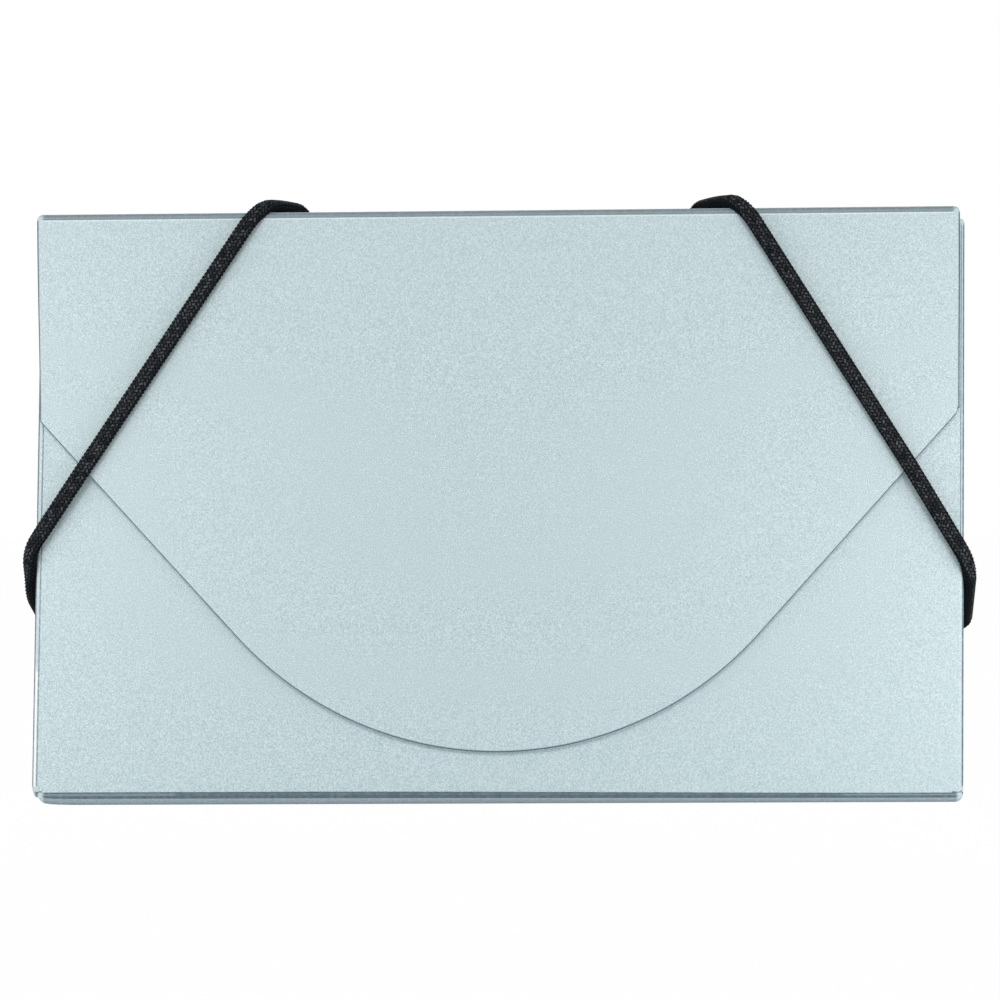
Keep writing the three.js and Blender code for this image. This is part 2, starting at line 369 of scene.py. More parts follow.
def rim_distance(grid, free):
    """Distance of each point of a grid from the nearest free rim, along the grid's own lines."""
    rows = np.linalg.norm(np.diff(grid, axis=0), axis=2)
    columns = np.linalg.norm(np.diff(grid, axis=1), axis=2)
    down = np.pad(np.cumsum(rows, axis=0), ((1, 0), (0, 0)))
    across = np.pad(np.cumsum(columns, axis=1), ((0, 0), (1, 0)))
    distances = {"start": down, "end": down[-1] - down, "low": across, "high": across[:, -1:] - across}
    return np.min([distances[rim] for rim in free], axis=0)


def sheet_piece(name, outer, inner, material, free, crease=0.0):
    """A closed skin between two grids of points, the outer and the inner face of a sheet."""
    rows, columns = outer.shape[:2]
    index = np.arange(2 * rows * columns).reshape(2, rows, columns)
    faces = []
    for side in index:
        for first, second in zip(side[:-1], side[1:]):
            faces += faces_between(first, second)
    for rim in (0, -1):
        faces += faces_between(index[0, rim, :], index[1, rim, :])
        faces += faces_between(index[0, :, rim], index[1, :, rim])
    points = np.concatenate([outer.reshape(-1, 3), inner.reshape(-1, 3)])
    piece = link_piece(name, points, faces, material)
    # Painted shade and painted highlights on the outer face, from the marks and along the cut edges
    tone = np.zeros((2, rows, columns))
    tone[0] = np.maximum(crease, 0.0)
    # Painted shade along the free cut edges
    tone[0] = np.maximum(tone[0], RIM_SHADE * smoothstep(rim_distance(outer, free), RIM_FADE, RIM_LINE))
    tone[0] = np.where(tone[0] > 0.0, tone[0], crease)
    add_values(piece, "crease", "POINT", tone)
    piece.data.set_sharp_from_angle(angle=SHARP_ANGLE)
    soften_rims(piece, index, free)
    return piece


def rounded_line(corners, radii):
    """A line with its corners turned on arcs: its points, the side away from the arcs, and their radii."""
    corners = [np.asarray(corner, float) for corner in corners]
    points = []
    normals = []
    rooms = []
    for before, corner, after, radius in zip(corners, corners[1:], corners[2:], radii):
        back = (before - corner) / np.linalg.norm(before - corner)
        ahead = (after - corner) / np.linalg.norm(after - corner)
        opening = math.acos(float(np.clip(back @ ahead, -1.0, 1.0)))
        turn = math.pi - opening
        bisector = (back + ahead) / np.linalg.norm(back + ahead)
        centre = corner + bisector * radius / math.sin(opening / 2)
        first = corner + back * radius / math.tan(opening / 2) - centre
        last = corner + ahead * radius / math.tan(opening / 2) - centre
        for share in np.linspace(0.0, 1.0, max(ARC_PARTS, int(turn * radius / ARC_STEP)) + 1):
            arm = math.sin((1.0 - share) * turn) * first + math.sin(share * turn) * last
            arm /= math.sin(turn)
            points.append(centre + arm)
            normals.append(arm / radius)
            rooms.append(radius)
    points = [corners[0], *points, corners[-1]]
    normals = [normals[0], *normals, normals[-1]]
    rooms = [math.inf, *rooms, math.inf]
    return np.array(points), np.array(normals), np.array(rooms)


def lengths_along(points):
    return np.concatenate([[0.0], np.cumsum(np.linalg.norm(np.diff(points, axis=0), axis=1))])


def read_line(line, distances):
    """Points of a rounded line, and the side away from its arcs, at distances from its start."""
    points, normals, _ = line
    along = lengths_along(points)
    read_points = np.stack([np.interp(distances, along, axis) for axis in points.T], axis=1)
    read_normals = np.stack([np.interp(distances, along, axis) for axis in normals.T], axis=1)
    read_normals /= np.linalg.norm(read_normals, axis=1)[:, None]
    return read_points, read_normals


def inner_depth(line, distances, thickness):
    """Thickness of a folded sheet along its section, less where a tight fold has no room for all of it."""
    points, _, rooms = line
    apart = np.abs(distances[:, None] - lengths_along(points)[None, :])
    return np.minimum(thickness, FOLD_ROOM * np.min(apart + rooms, axis=1))


def mark_profile(distances, marks, station, strength):
    """Depth of the marks along a section at one station, and their tone, painted shade over zero and a
    painted highlight under it.
    """
    depth = np.zeros(len(distances))
    tone = np.zeros(len(distances))
    for number, mark in enumerate(marks):
        outside = np.maximum(mark.start - distances, distances - mark.end)
        within = np.clip(min(station - mark.low, mark.high - station) / MARK_END, 0.0, 1.0)
        shape = np.clip(1.0 - outside / mark.slope, 0.0, 1.0) * strength * within
        uneven = 1.0 + mark.dots * wander(station, MARK_SEED * number, MARK_WANDER)
        depth = np.maximum(depth, mark.depth * shape * np.clip(uneven, *DEPTH_LIMITS))
        drawn = mark.tone * shape * np.clip(uneven, *TONE_LIMITS)
        tone = np.where(np.abs(drawn) > np.abs(tone), drawn, tone)
    return depth, tone


def folded_strip(name, corners, radii, places, put, marks, thickness, material, free):
    """A strip folded to a section and run along places, each point put where its place and section ask."""
    line = rounded_line(corners, radii)
    total = lengths_along(line[0])[-1]
    spread = np.linspace(-MARK_SPAN, MARK_SPAN, MARK_SAMPLES)
    fine = [spread * mark.slope + end for mark in marks for end in (mark.start, mark.end)]
    distances = np.concatenate([lengths_along(line[0]), np.linspace(0.0, total, SECTION_PARTS), *fine])
    distances = np.unique(np.round(np.clip(distances, 0.0, total), SECTION_DIGITS))
    section, normals = read_line(line, distances)
    core = section - normals * inner_depth(line, distances, thickness)[:, None]
    fade = smoothstep(places, places[0] + MARK_END / 2, places[0] + MARK_END)
    fade *= smoothstep(places, places[-1] - MARK_END / 2, places[-1] - MARK_END)
    outer = []
    inner = []
    # Tone of the marks: painted shade over zero, painted highlights under it
    crease = []
    for place, strength in zip(places, fade):
        depth, tone = mark_profile(distances, marks, place, strength)
        face = section - normals * depth[:, None]
        outer.append([put(place, *point) for point in face])
        inner.append([put(place, *point) for point in core])
        crease.append(tone)
    return sheet_piece(name, np.array(outer), np.array(inner), material, free, np.array(crease))


# Materials

def linear(red, green, blue):
    """Scene colour of an 8-bit display colour."""
    parts = [channel / 255.0 for channel in (red, green, blue)]
    red, green, blue = (
        part / 12.92 if part <= 0.04045 else ((part + 0.055) / 1.055) ** 2.4 for part in parts
    )
    return red, green, blue, 1.0


PEARL_DEEP = linear(166, 189, 196)
PEARL = linear(193, 212, 216)
PEARL_LIGHT = linear(212, 227, 230)
FLAKE = linear(236, 245, 247)
# Painted highlight for folds that catch the light
PAINTED_HIGHLIGHT = linear(240, 246, 248)
# Painted shade for scored lines, folds and cut edges
PAINTED_SHADE = linear(70, 89, 101)
# Painted shade between the cord's strands
CORD_CREVICE_SHADE = linear(4, 7, 10)
CORD_YARN = linear(22, 27, 32)
# Painted highlight on the cord's fibres
CORD_FIBRE_HIGHLIGHT = linear(104, 107, 111)
STEEL = linear(186, 188, 192)
STEEL_WORN = linear(150, 152, 156)
WHITE = (1.0, 1.0, 1.0, 1.0)

# Sizes of the grains in millimetres
SAND_SIZE = 0.11
CLOUD_SIZE = 26.0
FLAKE_SIZE = 0.2
YARN_SIZE = 0.2
ROLLING_SIZE = 0.5

# Ranges that the grains and marks are read over, and ranges that they are turned into
RISING = (0.0, 1.0)
FALLING = (1.0, 0.0)
PALE_SIDE = (0.0, -1.0)
NOISE_RANGE = (0.3, 0.7)
CLOUD_SHARE = (0.0, 0.25)
FLAKE_CHOICE = (0.7, 1.0)
FLAKE_SHARE = (0.0, 0.8)
FLAKE_REACH = (0.1, 0.45)
STRAND_RANGE = (0.2, 0.9)
CROWN_RANGE = (0.35, 0.9)
FIBRE_RANGE = (0.38, 0.6)
FIBRE_SHARE = (0.05, 1.0)
TONE_SHARE = (0.1, 1.0)
ROLLING_RANGE = (0.35, 0.7)

# Finish of the surfaces, with each bump as a strength and a depth in millimetres
SHEET_ROUGHNESS = (0.58, 0.48)
SHEET_METAL = 0.12
SHEET_BUMP = (0.45, 0.03)
CORD_ROUGHNESS = (0.85, 0.65)
CORD_SPECULAR = 0.06
CORD_BUMP = (0.5, 0.02)
STEEL_ROUGHNESS = (0.28, 0.45)
STEEL_BUMP = (0.2, 0.01)


class Paint:
    """A node material under construction."""

    def __init__(self, name):
        self.material = bpy.data.materials.new(name)
        self.material.use_nodes = True
        self.tree = self.material.node_tree
        self.shader = self.tree.nodes["Principled BSDF"]

    def feed(self, socket, value):
        if isinstance(value, bpy.types.NodeSocket):
            self.tree.links.new(value, socket)
        else:
            socket.default_value = value

    def grain(self, kind, size, **settings):
        """A solid texture in the piece's own space, with features of about size millimetres."""
        place = self.tree.nodes.new("ShaderNodeTexCoord")
        node = self.tree.nodes.new(kind)
        self.tree.links.new(place.outputs["Object"], node.inputs["Vector"])
        node.inputs["Scale"].default_value = 1.0 / (size * MM)
        for key, value in settings.items():
            node.inputs[key].default_value = value
        return node.outputs

    def attribute(self, name):
        node = self.tree.nodes.new("ShaderNodeAttribute")
        node.attribute_name = name
        return node.outputs["Fac"]

    def ramp(self, value, source, result):
        """A value read over one range and turned into another."""
        node = self.tree.nodes.new("ShaderNodeMapRange")
        for key, number in zip(("From Min", "From Max", "To Min", "To Max"), source + result):
            node.inputs[key].default_value = number
        self.feed(node.inputs["Value"], value)
        return node.outputs["Result"]

    def product(self, first, second):
        node = self.tree.nodes.new("ShaderNodeMath")
        node.operation = "MULTIPLY"
        self.feed(node.inputs[0], first)
        self.feed(node.inputs[1], second)
        return node.outputs["Value"]

    def mix(self, share, first, second):
        node = self.tree.nodes.new("ShaderNodeMix")
        node.data_type = "RGBA"
        self.feed(node.inputs["Factor"], share)
        colours = [socket for socket in node.inputs if socket.type == "RGBA"]
        self.feed(colours[0], first)
        self.feed(colours[1], second)
        return next(socket for socket in node.outputs if socket.type == "RGBA")

    def red(self, colour):
        node = self.tree.nodes.new("ShaderNodeSeparateColor")
        self.feed(node.inputs["Color"], colour)
        return node.outputs["Red"]

    def bump(self, height, strength, depth):
        node = self.tree.nodes.new("ShaderNodeBump")
        node.inputs["Strength"].default_value = strength
        node.inputs["Distance"].default_value = depth * MM
        self.feed(node.inputs["Height"], height)
        self.feed(self.shader.inputs["Normal"], node.outputs["Normal"])

    def set(self, key, value):
        self.feed(self.shader.inputs[key], value)


def sheet_material():
    """Pale pearl polypropylene with a sand grain and small bright flakes, with painted shade in its scored
    lines, along its folds and cut edges, and painted highlights on some folds.
    """
    paint = Paint("pearl_polypropylene")
    sand = paint.grain("ShaderNodeTexNoise", SAND_SIZE, Detail=1.0, Roughness=0.5)["Fac"]
    cloud = paint.grain("ShaderNodeTexNoise", CLOUD_SIZE, Detail=1.0)["Fac"]
    flakes = paint.grain("ShaderNodeTexVoronoi", FLAKE_SIZE, Randomness=1.0)
    base = paint.mix(paint.ramp(sand, NOISE_RANGE, RISING), PEARL_DEEP, PEARL_LIGHT)
    base = paint.mix(paint.ramp(cloud, NOISE_RANGE, CLOUD_SHARE), base, PEARL)
    chosen = paint.ramp(paint.red(flakes["Color"]), FLAKE_CHOICE, FLAKE_SHARE)
    glint = paint.product(chosen, paint.ramp(flakes["Distance"], FLAKE_REACH, FALLING))
    base = paint.mix(glint, base, FLAKE)
    crease = paint.attribute("crease")
    # Painted highlight from the pale side of the crease attribute
    base = paint.mix(paint.ramp(crease, PALE_SIDE, RISING), base, PAINTED_HIGHLIGHT)
    # Painted shade from the dark side of the crease attribute
    paint.set("Base Color", paint.mix(paint.ramp(crease, RISING, RISING), base, PAINTED_SHADE))
    paint.set("Roughness", paint.ramp(sand, NOISE_RANGE, SHEET_ROUGHNESS))
    paint.set("Metallic", SHEET_METAL)
    paint.bump(sand, *SHEET_BUMP)
    return paint.material


def cord_material():
    """Black braided yarn, with painted shade between the strands and painted highlights where fibres catch
    the light on the cord's outer side.
    """
    paint = Paint("black_braid")
    rise = paint.attribute("rise")
    yarn = paint.grain("ShaderNodeTexNoise", YARN_SIZE, Detail=3.0, Roughness=0.65)["Fac"]
    # Painted shade in the crevices between strands, with lighter yarn on their crowns
    base = paint.mix(paint.ramp(rise, STRAND_RANGE, RISING), CORD_CREVICE_SHADE, CORD_YARN)
    crown = paint.product(paint.ramp(rise, CROWN_RANGE, RISING), paint.ramp(yarn, FIBRE_RANGE, FIBRE_SHARE))
    # Painted light on the outer side, with a random tone for each pass of a strand
    lit_share = paint.product(paint.attribute("lit_face"), paint.ramp(paint.attribute("tone"), RISING, TONE_SHARE))
    # Painted highlights on the strands' crowns, on the outer side
    paint.set("Base Color", paint.mix(paint.product(crown, lit_share), base, CORD_FIBRE_HIGHLIGHT))
    paint.set("Roughness", paint.ramp(yarn, NOISE_RANGE, CORD_ROUGHNESS))
    paint.set("Specular IOR Level", CORD_SPECULAR)
    paint.bump(yarn, *CORD_BUMP)
    return paint.material


def crimp_material():
    """Plated steel with fine rolling marks."""
    paint = Paint("plated_steel")
    marks = paint.grain("ShaderNodeTexNoise", ROLLING_SIZE, Detail=4.0, Roughness=0.7)["Fac"]
    paint.set("Base Color", paint.mix(paint.ramp(marks, ROLLING_RANGE, RISING), STEEL, STEEL_WORN))
    paint.set("Roughness", paint.ramp(marks, NOISE_RANGE, STEEL_ROUGHNESS))
    paint.set("Metallic", 1.0)
    paint.bump(marks, *STEEL_BUMP)
    return paint.material


# Sheet pieces

def stand_for(node):
    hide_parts(node)


def slant():
    """The flap's right shoulder, its slanted edge's steepness, and where that edge meets the round tip."""
    shoulder = np.array([HALF_STRIP - SHOULDER_INSET, CASE_TOP - SHOULDER_DROP])
    centre = np.array([0.0, FLAP_LOW[2] + TIP_RADIUS])
    reach = np.linalg.norm(centre - shoulder)
    bearing = math.atan2(centre[1] - shoulder[1], centre[0] - shoulder[0]) + math.asin(TIP_RADIUS / reach)
    touch = TIP_RADIUS * math.cos(bearing + math.pi / 2)
    return shoulder, math.tan(bearing), touch, centre[1]


def flap_low(x):
    """Height of the flap's lower edge, from the round tip up the slanted edges to the rounded shoulders."""
    shoulder, steep, touch, centre_z = slant()
    across = np.abs(x)
    hypotenuse = math.hypot(1.0, steep)
    tip = centre_z - np.sqrt(TIP_RADIUS ** 2 - np.minimum(across, touch) ** 2)
    edge = shoulder[1] + (across - shoulder[0]) * steep
    round_x = shoulder[0] - SHOULDER_ROUND
    round_z = shoulder[1] + SHOULDER_ROUND * (hypotenuse - steep)
    over = np.clip(across - round_x, 0.0, SHOULDER_ROUND)
    turned = round_z - np.sqrt(SHOULDER_ROUND ** 2 - over ** 2)
    low = np.where(across < touch, tip, edge)
    return np.where(across > round_x + SHOULDER_ROUND * steep / hypotenuse, turned, low)


def make_flap(material):
    shoulder = slant()[0]
    columns = stations(-shoulder[0], shoulder[0], FLAP_STEP, RIM_STEP, FLAP_REACH)
    low = flap_low(np.clip(columns - TIP_SHIFT, -shoulder[0], shoulder[0]))[:, None]
    rim = low + np.arange(0.0, RIM_REACH, RIM_STEP)
    field = low + RIM_REACH + (FLAP_HIGH[2] - low - RIM_REACH) * np.linspace(0.0, 1.0, FLAP_ROWS)
    z = np.concatenate([rim, field], axis=1)
    taper = 1.0 + (HALF_STRIP / shoulder[0] - 1.0) * smoothstep(z, shoulder[1], FLAP_HIGH[2])
    x = columns[:, None] * taper
    outer = np.stack([x, FLAP_Y + flap_hug(x, z), z], axis=-1)
    piece = sheet_piece("flap_sheet", outer, outer + (0.0, SHEET, 0.0), material, ("start", "end", "low"))
    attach(piece, "flap")
    stand_for("flap")


def make_front_panel(material):
    half = HALF_CASE - SIDE_LAP
    columns = np.linspace(-half, half, PANEL_COLUMNS)[:, None]
    foot = front_foot(columns)
    z = foot + (POCKET_TOP - foot) * np.linspace(0.0, 1.0, PANEL_ROWS)
    share = (columns + half) / (2 * half)
    x = columns + side_lean(-1, z) * (1.0 - share) + side_lean(1, z) * share
    outer = np.stack([x, FRONT_Y - panel_bulge(columns, z), z], axis=-1)
    piece = sheet_piece("front_panel_sheet", outer, outer + (0.0, SHEET, 0.0), material, ("high",))
    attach(piece, "case")
    stand_for("front_panel")


def make_bottom_wall(material):
    half = HALF_CASE - CORNER_INSET
    corners = [(FRONT_Y, FRONT_FOOT), (FRONT_Y, 0.0), (BACK_Y, 0.0), (BACK_Y, BACK_LOW[2])]

    def put(x, y, z):
        drop = corner_drop(x, half, CORNER_CUT)
        share = (x + half) / (2 * half)
        lean = BOTTOM_SHIFT[-1] * (1.0 - share) + BOTTOM_SHIFT[1] * share
        forward = (BACK_Y - y) / (BACK_Y - FRONT_Y)
        height = z * (1.0 + (float(front_foot(x)) / FRONT_FOOT - 1.0) * forward)
        fold_top = FRONT_FOOT * forward + BACK_LOW[2] * (1.0 - forward)
        narrow = 1.0 - (1.0 - BACK_HIGH[0] / half) * (1.0 - forward)
        rise = CORNER_RISE * forward * math.exp(-(x + half) / RISE_REACH)
        lift = (float(drop) + rise) * (1.0 - min(1.0, z / fold_top))
        return x * narrow + lean * forward, y, height + lift

    places = stations(-half, half, STRIP_STEP, END_STEP, END_REACH)
    folds = (BOTTOM_FOLD, BACK_FOLD)
    piece = folded_strip(
        "bottom_wall_sheet", corners, folds, places, put, BOTTOM_MARKS, SHEET, material, ("start", "end"))
    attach(piece, "case")
    stand_for("bottom_wall")


def make_side_wall(name, side, material):
    lap = HALF_CASE - SIDE_LAP
    tab = box_mm(f"{name}_glue_tab")
    tab_x = max(abs(tab[0][0]), abs(tab[1][0]))
    foot = float(front_foot(side * HALF_CASE))
    middle = (foot + POCKET_TOP) / 2
    corners = [(lap, FRONT_Y), (HALF_CASE, FRONT_Y), (HALF_CASE, TAB_Y), (tab_x, TAB_Y)]

    def put(z, x, y):
        forward = (TAB_Y - y) / (TAB_Y - FRONT_Y)
        trim = float(corner_drop(z - middle, POCKET_TOP - middle, END_ROUND))
        narrow = x - trim * (x - lap) / SIDE_LAP
        behind_fold = smoothstep(y, FRONT_Y + SIDE_FOLD, FRONT_Y + 2 * SIDE_FOLD)
        low = (foot - WALL_FOOT) * float(behind_fold * smoothstep(z, 2 * foot, foot))
        return side * narrow + float(side_lean(side, z)) * forward, y, z - low

    places = stations(foot, POCKET_TOP, WALL_STEP, END_STEP, END_REACH)
    folds = (SIDE_FOLD, BACK_FOLD)
    marks = SIDE_MARKS[side]
    piece = folded_strip(
        f"{name}_side_wall_sheet", corners, folds, places, put, marks, SHEET, material, ("start", "end"))
    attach(piece, "case")
    stand_for(f"{name}_side_wall")


def make_crease(name, face_y, top_y, material, bodies):
    """Thin living hinge along the top of the case, which stays where it is made; its bodies are not used."""
    corners = [(face_y, FLAP_HIGH[2]), (face_y, CASE_TOP), (top_y, CASE_TOP)]

    def put(x, y, z):
        drop = corner_drop(x, HALF_STRIP, STRIP_CORNER)
        return x, y, z - float(drop) * (z - FLAP_HIGH[2]) / (CASE_TOP - FLAP_HIGH[2])

    places = stations(-HALF_STRIP, HALF_STRIP, STRIP_STEP, END_STEP, END_REACH)
    piece = folded_strip(
        f"{name}_sheet", corners, (TOP_FOLD,), places, put, TOP_MARKS, CREASE_WEB, material, ("start", "end"))
    face, top = ((0.0, y * MM, z * MM) for y, z in (corners[0], corners[-1]))
    ends = {"face": face, "top": top}
    first, second = bodies
    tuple(ends[first])
    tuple(ends[second])
    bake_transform(piece)
    stand_for(name)


def make_top_wall(material):
    x = stations(-HALF_STRIP, HALF_STRIP, TOP_STEP, END_STEP, END_REACH)[:, None]
    y = np.linspace(TOP_LOW[1], TOP_HIGH[1], TOP_ROWS)[None, :]
    z = CASE_TOP - corner_drop(x, HALF_STRIP, STRIP_CORNER) + 0 * y
    outer = np.stack([x + 0 * y, y + 0 * x, z], axis=-1)
    piece = sheet_piece("top_wall_sheet", outer, outer - (0.0, 0.0, SHEET), material, ("start", "end"))
    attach(piece, "top")
    stand_for("top_wall")


# Elastic bands

def band_corners(band):
    """Corners of a cord's route, from its top hole over the top and the front corner to its side hole."""
    fall = (RUN_TOP_Z - band.low) / (RUN_SIDE_X - band.top)
    shoulder, steep, _, _ = slant()
    leave_x = (RUN_TOP_Z + fall * band.top - shoulder[1] + steep * shoulder[0]) / (steep + fall)
    leave_z = RUN_TOP_Z - fall * (leave_x - band.top)
    over_top = CASE_TOP + TURN_LIFT
    past_side = HALF_CASE + band.side_lift
    behind = BACK_Y + CORD_LIFT
    front_z = band.low - fall * (past_side - RUN_SIDE_X)
    lean = band.side * float(side_lean(band.side, front_z))
    hold_share = (TAB_Y - band.hold_y) / (TAB_Y - FRONT_Y)
    hold_lean = band.side * float(side_lean(band.side, band.hold_z)) * hold_share
    back_x = band.top - band.top_drift
    front_x = band.top - (over_top - RUN_TOP_Z) / fall
    leave_y = FLAP_Y + float(flap_hug(leave_x, leave_z)) - CORD_LIFT
    corners = [
        (TOP_HOLE[0], behind, TOP_HOLE[2]),
        (back_x, behind, over_top + band.back_rise),
        ((back_x + front_x) / 2, (behind + FLAP_Y - TURN_LIFT) / 2, over_top + band.arch),
        (front_x, FLAP_Y - TURN_LIFT, over_top + band.front_rise),
        (leave_x, leave_y, leave_z),
        (past_side + lean, FRONT_Y - TURN_LIFT, front_z),
        (past_side + hold_lean, band.hold_y, band.hold_z),
        (past_side - BACK_PRESS, behind, band.low - band.side_drift),
        (SIDE_HOLE[0], behind, SIDE_HOLE[2]),
    ]
    return [np.array((band.side * x, y, z)) for x, y, z in corners]


def reach_past(end, neighbour, distance):
    """The point that lies a distance beyond the end of a line."""
    return end + (end - neighbour) * distance / np.linalg.norm(end - neighbour)


def scatter(first, second):
    """A steady random number from 0 to 1 for each pair of whole numbers."""
    return np.mod(np.sin(first * SPREAD_FIRST + second * SPREAD_SECOND) * SPREAD_GAIN, 1.0)


def braid(along, round_share):
    """Height from 0 to 1 of a braid of strands that pass over two and under two, and a tone for each pass."""
    right_turn = STRANDS * (round_share + along / STRAND_PITCH)
    left_turn = STRANDS * (round_share - along / STRAND_PITCH)
    right_part = np.mod(right_turn, 1.0)
    left_part = np.mod(left_turn, 1.0)
    crossing = np.floor(right_turn) + np.floor(left_turn)
    phase = np.mod(crossing, 2.0 * STRANDS_OVER)
    right_over = phase < STRANDS_OVER
    across = np.where(right_over, right_part, left_part) - 0.5
    passed = np.where(right_over, phase + left_part, phase - STRANDS_OVER + right_part) / STRANDS_OVER
    crown = np.sqrt(np.clip(1.0 - (2.0 * across) ** 2, 0.0, 1.0))
    height = crown * np.sqrt(np.clip(np.sin(math.pi * passed), 0.0, 1.0))
    strand = np.where(right_over, np.floor(right_turn), np.floor(left_turn))
    row = np.floor(crossing / STRANDS_OVER) - strand
    tone = scatter(np.mod(strand, STRANDS) + STRANDS * right_over, row)
    return height, tone


def cord_piece(name, line, half_width, half_thick, material):
    """A braided cord along a line, flat side to the case, with round ends."""
    length = lengths_along(line[0])[-1]
    along = np.linspace(0.0, length, int(length / CORD_STEP))
    path, normals = read_line(line, along)
    ahead = np.gradient(path, axis=0)
    ahead /= np.linalg.norm(ahead, axis=1)[:, None]
    core = np.clip(path, CASE_CORNER[0] + CORE_INSET, CASE_CORNER[1] - CORE_INSET)
    normals = path - core + CORE_SHARE * normals
    normals -= ahead * np.sum(normals * ahead, axis=1)[:, None]
    normals /= np.linalg.norm(normals, axis=1)[:, None]
    sideways = np.cross(ahead, normals)
    share = np.arange(CORD_SIDES) / CORD_SIDES
    rise, tone = braid(along[:, None], share[None, :])
    sink = STRAND_RISE * (1.0 - rise)[..., None]
    cosine = np.cos(2 * math.pi * share)[None, :, None]
    sine = np.sin(2 * math.pi * share)[None, :, None]
    inward = np.clip(1.0 - np.minimum(along, length - along) / CORD_CAP, 0.0, CAP_LIMIT)
    taper = np.sqrt(1.0 - inward ** 2)[:, None, None]
    over_top = smoothstep(path[:, 2], CASE_TOP - THICK_REACH, CASE_TOP)
    past_side = smoothstep(np.abs(path[:, 0]), HALF_CASE - THICK_REACH, HALF_CASE)
    thick = half_thick + (TOP_HALF_THICK - half_thick) * over_top
    thick = thick + (SIDE_HALF_THICK - half_thick) * past_side
    rings = path[:, None, :] + normals[:, None, :] * cosine * (thick[:, None, None] - sink) * taper
    rings = rings + sideways[:, None, :] * sine * (half_width - sink) * taper
    index = np.arange(rings.shape[0] * CORD_SIDES).reshape(-1, CORD_SIDES)
    index = np.concatenate([index, index[:, :1]], axis=1)
    faces = [index[0, :-1].tolist(), index[-1, :-1].tolist()]
    for first, second in zip(index[:-1], index[1:]):
        faces += faces_between(first, second)
    piece = link_piece(name, rings.reshape(-1, 3), faces, material)
    add_values(piece, "rise", "POINT", rise)
    add_values(piece, "tone", "POINT", tone)
    # Share of each point's side that faces away from the case, for the painted highlights
    add_values(piece, "lit_face", "POINT", smoothstep(cosine[..., 0], LIT_FACE_FROM, LIT_FACE_TO) + 0 * rise)
    return piece


def make_band(name, band, material):
    """The loop of a band, which turns about its holes, and the two ends that stay in them."""
    corners = band_corners(band)
    first = reach_past(corners[0], corners[1], CORD_CAP)
    last = reach_past(corners[-1], corners[-2], CORD_CAP)
    turns = (BACK_TURN, ARCH_TURN, TOP_TURN, LEAVE_TURN, SIDE_TURN, HOLD_TURN, BACK_TURN)
    line = rounded_line([first, *corners[1:-1], last], turns)
    piece = cord_piece(f"{name}_band_cord", line, CORD_HALF_WIDTH, CORD_HALF_THICK, material)
    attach(piece, f"{name}_band")
    stand_for(f"{name}_band")
    for place, mouth, tail_y in (("top", corners[0], TOP_TAIL_Y), ("side", corners[-1], SIDE_TAIL_Y)):
        outer = mouth + (0.0, CORD_CAP, 0.0)
        inner = np.array((mouth[0], tail_y, mouth[2]))
        line = np.array([inner, outer]), np.array([(0.0, 0.0, 1.0)] * 2), None
        stub = cord_piece(f"{name}_{place}_end_cord", line, STUB_HALF, STUB_HALF, material)
        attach(stub, "case")


# Solids that keep their own shape and take a finish

def finish_solid(node, material, width):
    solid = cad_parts[node]
    solid.data.materials.clear()
    solid.data.materials.append(material)
    weld = solid.modifiers.new("joined_faces", "WELD")
    weld.merge_threshold = WELD_REACH * MM
    bevel = solid.modifiers.new("cut_edges", "BEVEL")
    bevel.width = width * MM
    bevel.segments = EDGE_SEGMENTS
    bevel.limit_method = "ANGLE"
    bevel.angle_limit = SHARP_ANGLE
    bevel.harden_normals = True


# Floor, light and camera

def seen_directly(tree):
    """Number that is 1 for rays that show the background itself, straight, mirrored or through glass."""
    rays = tree.nodes.new("ShaderNodeLightPath")
    total = rays.outputs["Is Camera Ray"]
    for name in ("Is Glossy Ray", "Is Transmission Ray"):
        node = tree.nodes.new("ShaderNodeMath")
        node.operation = "MAXIMUM"
        tree.links.new(total, node.inputs[0])
        tree.links.new(rays.outputs[name], node.inputs[1])
        total = node.outputs["Value"]
    return total


def make_floor():
    mesh = bpy.data.meshes.new("floor")
    signs = ((-1, -1), (1, -1), (1, 1), (-1, 1))
    mesh.from_pydata([(x * FLOOR_HALF * MM, y * FLOOR_HALF * MM, 0.0) for x, y in signs], [], [(0, 1, 2, 3)])
    floor = bpy.data.objects.new("floor", mesh)
    bpy.context.scene.collection.objects.link(floor)
    material = bpy.data.materials.new("white_floor")
    material.use_nodes = True
    tree = material.node_tree
    tree.nodes.clear()
    output = tree.nodes.new("ShaderNodeOutputMaterial")
    matte = tree.nodes.new("ShaderNodeBsdfDiffuse")
    matte.inputs["Color"].default_value = WHITE
    glow = tree.nodes.new("ShaderNodeEmission")
    glow.inputs["Color"].default_value = WHITE
    blend = tree.nodes.new("ShaderNodeMixShader")
    share = tree.nodes.new("ShaderNodeMath")
    share.operation = "MULTIPLY"
    share.inputs[1].default_value = FLOOR_GLOW
    tree.links.new(seen_directly(tree), share.inputs[0])
    tree.links.new(share.outputs["Value"], blend.inputs["Fac"])
    tree.links.new(matte.outputs["BSDF"], blend.inputs[1])
    tree.links.new(glow.outputs["Emission"], blend.inputs[2])
    tree.links.new(blend.outputs["Shader"], output.inputs["Surface"])
    mesh.materials.append(material)


def make_distant_lamp(name, strength, heading):
    lamp = bpy.data.lights.new(name, "SUN")
    lamp.angle = math.radians(LAMP_SPREAD)
    lamp.energy = strength
    sun = bpy.data.objects.new(name, lamp)
    bpy.context.scene.collection.objects.link(sun)
    sun.rotation_euler = Vector(heading).to_track_quat("-Z", "Y").to_euler()


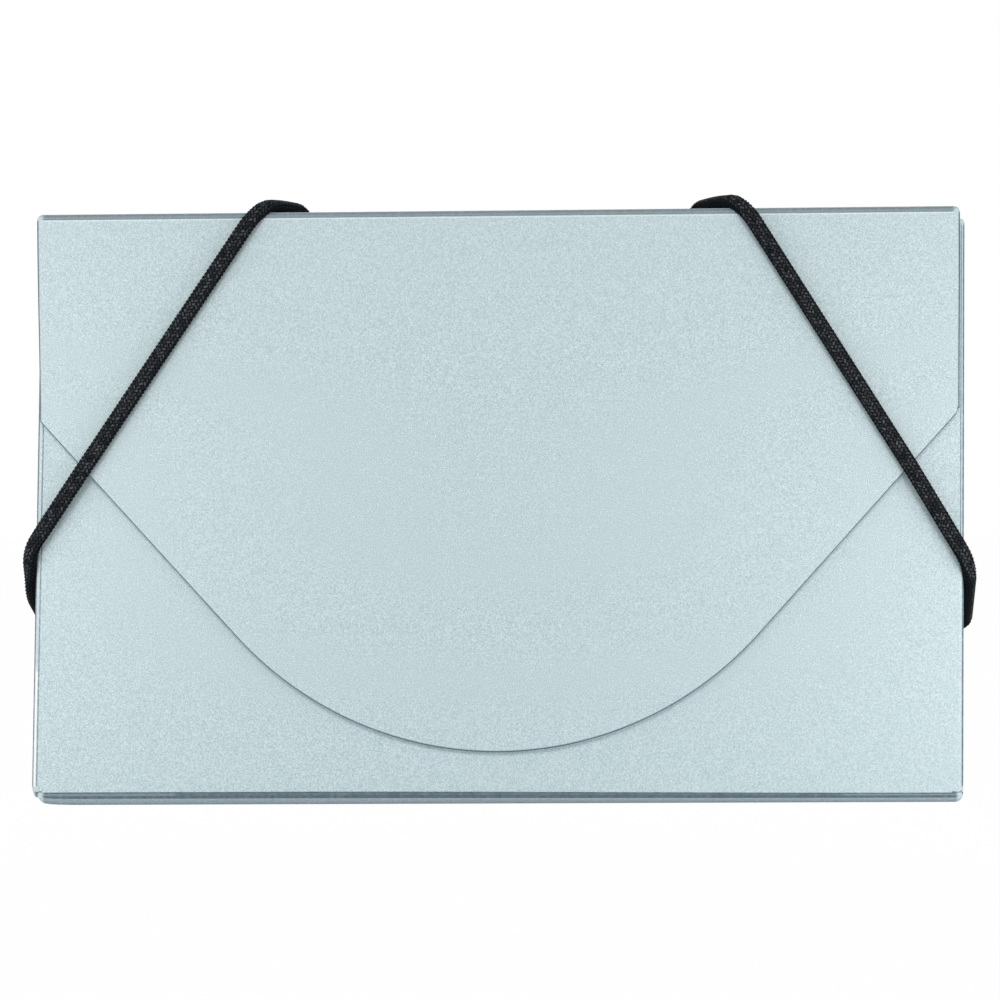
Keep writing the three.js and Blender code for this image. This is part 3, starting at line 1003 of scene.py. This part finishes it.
def make_side_box(side, height):
    """A soft box beside the case, turned to its nearer edge."""
    lamp = bpy.data.lights.new("side_box", "AREA")
    lamp.shape = "RECTANGLE"
    lamp.size = SIDE_BOX_WIDTH * MM
    lamp.size_y = SIDE_BOX_HEIGHT * MM
    lamp.energy = SIDE_BOX_POWER[side]
    lamp.color = SIDE_BOX_COLOUR
    box = bpy.data.objects.new("side_box", lamp)
    bpy.context.scene.collection.objects.link(box)
    place = Vector((side * SIDE_BOX_X, SIDE_BOX_Y, height))
    heading = Vector((side * HALF_CASE, FLAP_Y, height)) - place
    box.location = place * MM
    box.rotation_euler = heading.to_track_quat("-Z", "Y").to_euler()
    box.visible_camera = False


def make_light():
    world = bpy.data.worlds.new("studio")
    bpy.context.scene.world = world
    world.use_nodes = True
    tree = world.node_tree
    ground = tree.nodes["Background"]
    ground.inputs["Color"].default_value = WHITE
    strength = tree.nodes.new("ShaderNodeMapRange")
    strength.inputs["To Min"].default_value = SKY_STRENGTH
    strength.inputs["To Max"].default_value = 1.0
    tree.links.new(seen_directly(tree), strength.inputs["Value"])
    tree.links.new(strength.outputs["Result"], ground.inputs["Strength"])
    make_distant_lamp("soft_key", KEY_STRENGTH, KEY_HEADING)
    make_distant_lamp("soft_fill", FILL_STRENGTH, FILL_HEADING)
    for side, height in SIDE_BOX_Z.items():
        make_side_box(side, height)


def make_camera():
    camera = bpy.data.objects.new("camera", bpy.data.cameras.new("camera"))
    bpy.context.scene.collection.objects.link(camera)
    camera.data.sensor_width = SENSOR
    camera.data.lens = SENSOR * VIEW_DISTANCE / VIEW_WIDTH
    camera.data.clip_start = VIEW_NEAR
    camera.data.clip_end = VIEW_FAR
    azimuth = math.radians(VIEW_AZIMUTH)
    centre = Vector((VIEW_X, FLAP_Y, VIEW_Z)) * MM
    back = Vector((math.sin(azimuth), -math.cos(azimuth), 0.0)) * VIEW_DISTANCE * MM
    turn = Matrix.Rotation(azimuth, 4, "Z") @ Matrix.Rotation(math.pi / 2, 4, "X")
    roll = Matrix.Rotation(-math.radians(VIEW_ROLL), 4, "Z")
    camera.matrix_world = Matrix.Translation(centre + back) @ turn @ roll
    bpy.context.scene.camera = camera


# The case, its bands and the stage

sheet = sheet_material()
cord = cord_material()
crimp = crimp_material()
make_flap(sheet)
make_front_panel(sheet)
make_bottom_wall(sheet)
make_crease("front_crease", FLAP_Y, TOP_LOW[1], sheet, {"top": "top", "face": "flap"})
make_crease("back_crease", BACK_Y, TOP_HIGH[1], sheet, {"face": "case", "top": "top"})
make_top_wall(sheet)
for name, band in BANDS.items():
    make_side_wall(name, band.side, sheet)
    make_band(name, band, cord)
    finish_solid(f"{name}_glue_tab", sheet, EDGE_ROUND)
    finish_solid(f"{name}_top_bar", crimp, BAR_ROUND)
    finish_solid(f"{name}_side_bar", crimp, BAR_ROUND)
finish_solid("back_panel", sheet, EDGE_ROUND)
make_floor()
make_light()
make_camera()
bpy.context.scene.view_settings.view_transform = "Standard"
